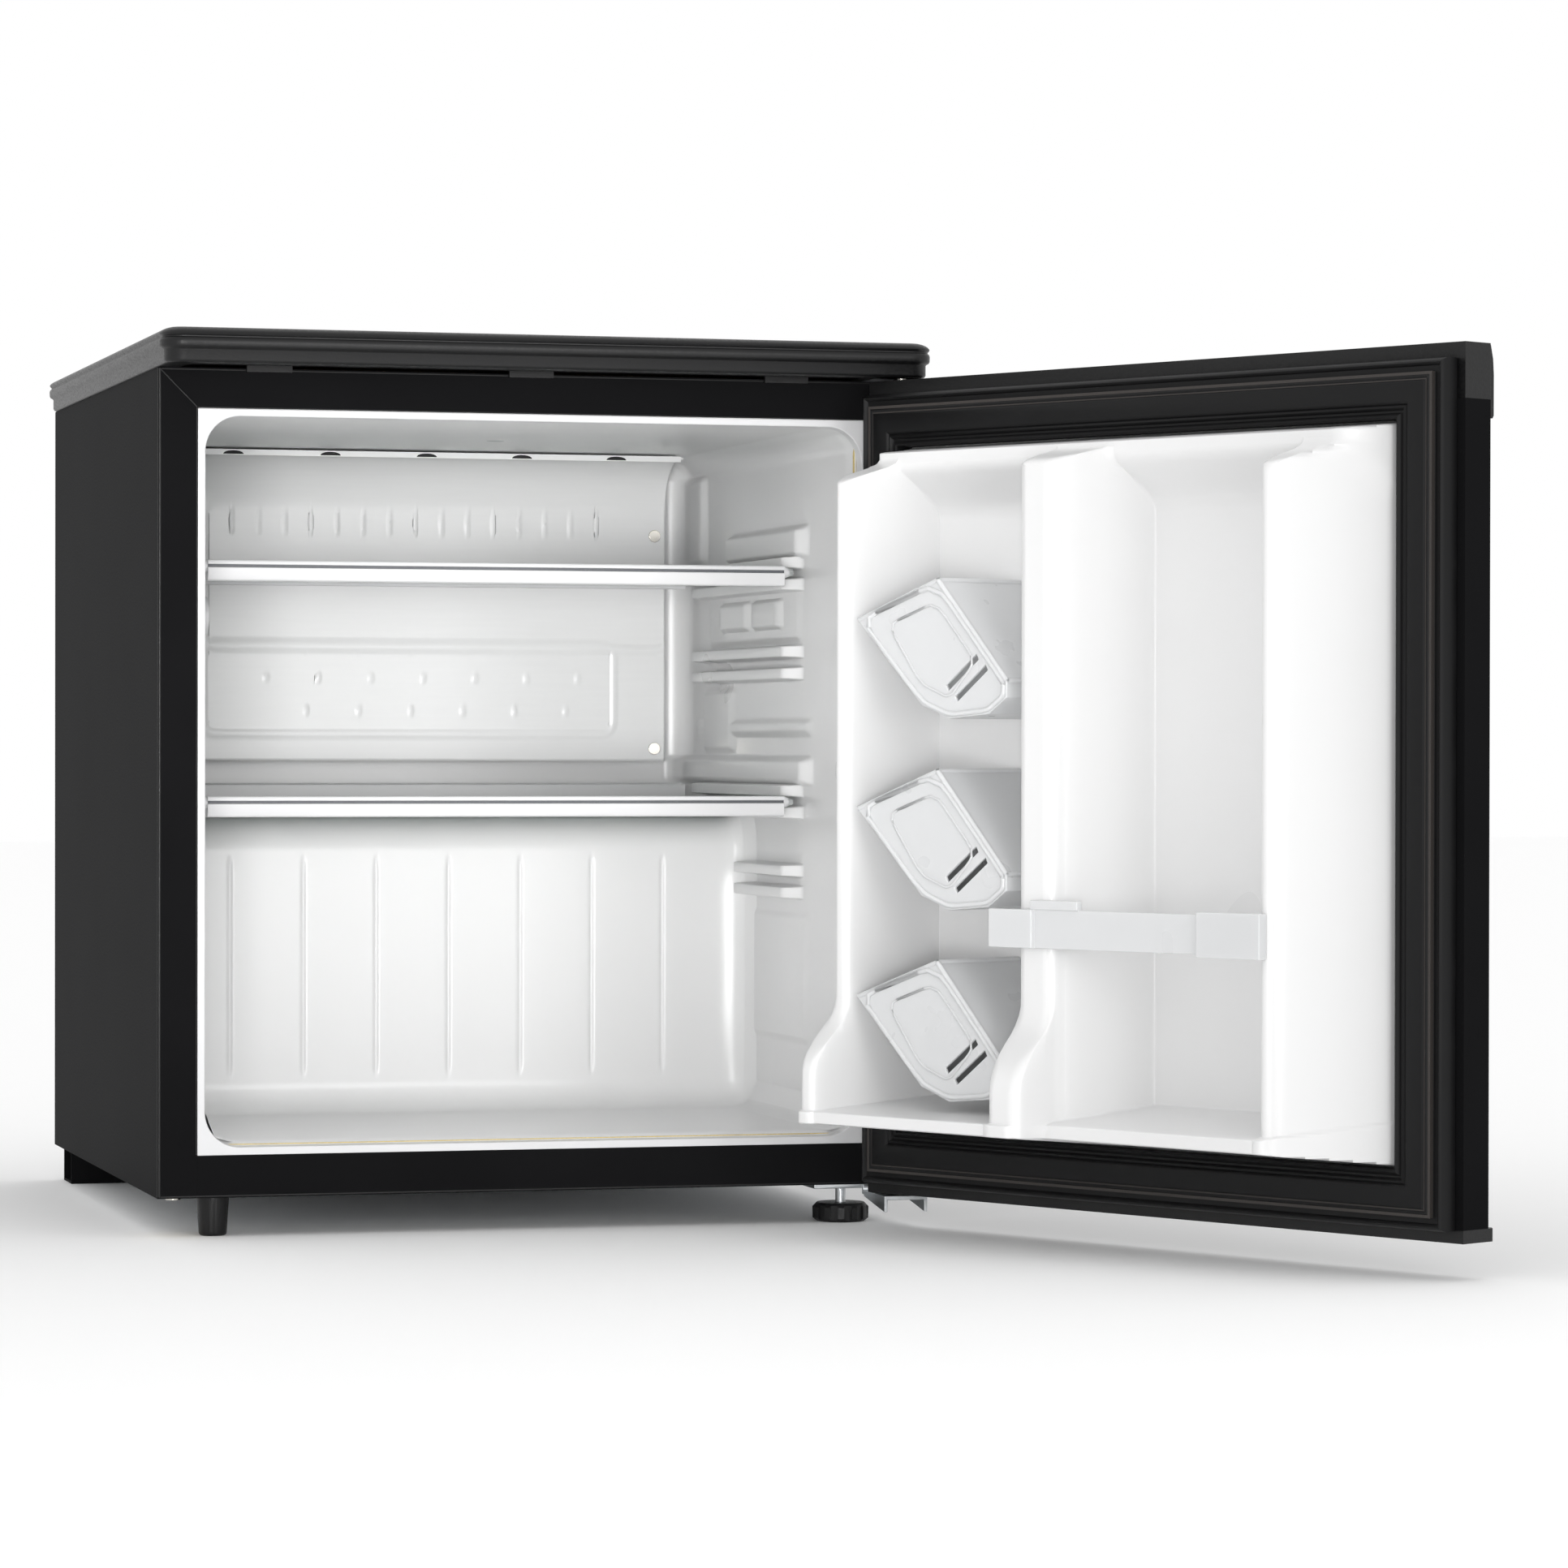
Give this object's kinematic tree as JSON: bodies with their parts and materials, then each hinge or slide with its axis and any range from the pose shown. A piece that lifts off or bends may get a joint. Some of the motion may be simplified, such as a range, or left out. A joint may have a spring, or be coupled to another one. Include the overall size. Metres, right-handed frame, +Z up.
{
  "type": "mini fridge",
  "caption": "Compact fridge with its hinged door open: glass shelves on ribs, back evaporator plate, compressor step, door bins with can holders, and an overhanging worktop.",
  "frame": {"origin": "on the floor, under the middle of the cabinet's footprint", "axes": "+Z up, -Y out of the front opening, +X towards the door's hinge side as seen from the front"},
  "size_m": [0.6456, 0.8507, 0.512],
  "materials": {
    "black_steel": "satin",
    "black_plastic": "satin",
    "white_liner": "gloss",
    "white_trim": "gloss",
    "foam": "matte",
    "copper": "satin",
    "black_worktop": "gloss",
    "board": "matte",
    "white_metal": "satin",
    "chrome_screw": "polished",
    "white_hard": "satin",
    "zinc_steel": "satin",
    "rubber": "matte",
    "black_shell": "satin",
    "tray_plastic": "satin",
    "glass": "gloss",
    "steel_door": "satin",
    "gasket": "matte",
    "magnet": "matte",
    "clear_white": "gloss",
    "acetal": "satin"
  },
  "bodies": {
    "cabinet": {"outer_wrapper": "black_steel", "back_panel": "zinc_steel", "back_panel_screws": "chrome_screw", "bottom_front_rail": "black_steel", "bottom_pan": "zinc_steel", "cabinet_liner": "white_liner", "mouth_trim": "white_trim", "foam_sides": "foam", "foam_back": "foam", "foam_floor": "foam", "foam_step": "foam", "foam_top": "foam", "condenser_tube": "copper", "worktop": "black_worktop", "worktop_core": "board", "worktop_clips": "black_plastic", "evaporator_plate": "white_metal", "evaporator_screws": "chrome_screw", "thermostat_housing": "white_hard", "thermostat_sensor": "copper", "hinge_bolts": "chrome_screw", "hinge_pins": "chrome_screw", "top_hinge_plate": "zinc_steel", "bottom_hinge_bracket": "zinc_steel", "fixed_foot": "black_plastic", "levelling_nut": "zinc_steel", "rear_skid": "black_steel", "rear_bumpers": "rubber", "compressor": "black_shell", "compressor_plate": "zinc_steel", "compressor_grommets": "rubber", "compressor_bolts": "zinc_steel", "relay_cover": "black_plastic", "refrigerant_tubes": "copper", "filter_drier": "copper", "drip_tray": "tray_plastic", "drain_tube": "tray_plastic", "supply_gland": "black_plastic"},
    "door": {"door_skin": "steel_door", "door_top_cap": "black_plastic", "door_bottom_cap": "black_plastic", "door_foam": "foam", "door_liner": "white_liner", "door_gasket": "gasket", "gasket_magnet": "magnet", "can_dispenser_upper": "clear_white", "can_dispenser_middle": "clear_white", "can_dispenser_lower": "clear_white", "hinge_bushings": "acetal"},
    "bottle_retainer": {"bottle_bar": "clear_white"},
    "upper_shelf": {"upper_shelf_glass": "glass", "upper_shelf_front_trim": "white_hard", "upper_shelf_rear_trim": "white_hard"},
    "lower_shelf": {"lower_shelf_glass": "glass", "lower_shelf_front_trim": "white_hard", "lower_shelf_rear_trim": "white_hard"},
    "thermostat_dial": {"thermostat_knob": "white_hard"},
    "foot_stud": {"levelling_stud": "zinc_steel"},
    "foot_pad": {"levelling_pad": "black_plastic"}
  },
  "joints": [
    {"name": "door_hinge", "type": "hinge", "parent": "cabinet", "child": "door", "pos_m": [0.2087, -0.2412, 0.25], "axis": [0, 0, 1], "range_deg": [-118.2, 16.8]},
    {"name": "bottle_bar_lift", "type": "slide", "parent": "door", "child": "bottle_retainer", "axis": [0, 0, 1], "range_m": [0, 0.03]},
    {"name": "upper_shelf_slide", "type": "slide", "parent": "cabinet", "child": "upper_shelf", "axis": [0, -1, 0], "range_m": [0, 0.165]},
    {"name": "lower_shelf_slide", "type": "slide", "parent": "cabinet", "child": "lower_shelf", "axis": [0, -1, 0], "range_m": [0, 0.165]},
    {"name": "thermostat_turn", "type": "hinge", "parent": "cabinet", "child": "thermostat_dial", "pos_m": [-0.177, -0.0625, 0.3555], "axis": [1, 0, 0], "range_deg": [0, 300]},
    {"name": "foot_stud_slide", "type": "slide", "parent": "cabinet", "child": "foot_stud", "axis": [0, 0, -1], "range_m": [-0.0041, 0.0061]},
    {"name": "foot_pad_turn", "type": "hinge", "parent": "foot_stud", "child": "foot_pad", "pos_m": [0.186, -0.1965, 0.0055], "axis": [0, 0, -1], "range_deg": [-1480, 2200]}
  ],
  "couplings": [
    {"joint": "foot_pad_turn", "follows": "foot_stud_slide", "rad_per_m": 6283.2}
  ]
}
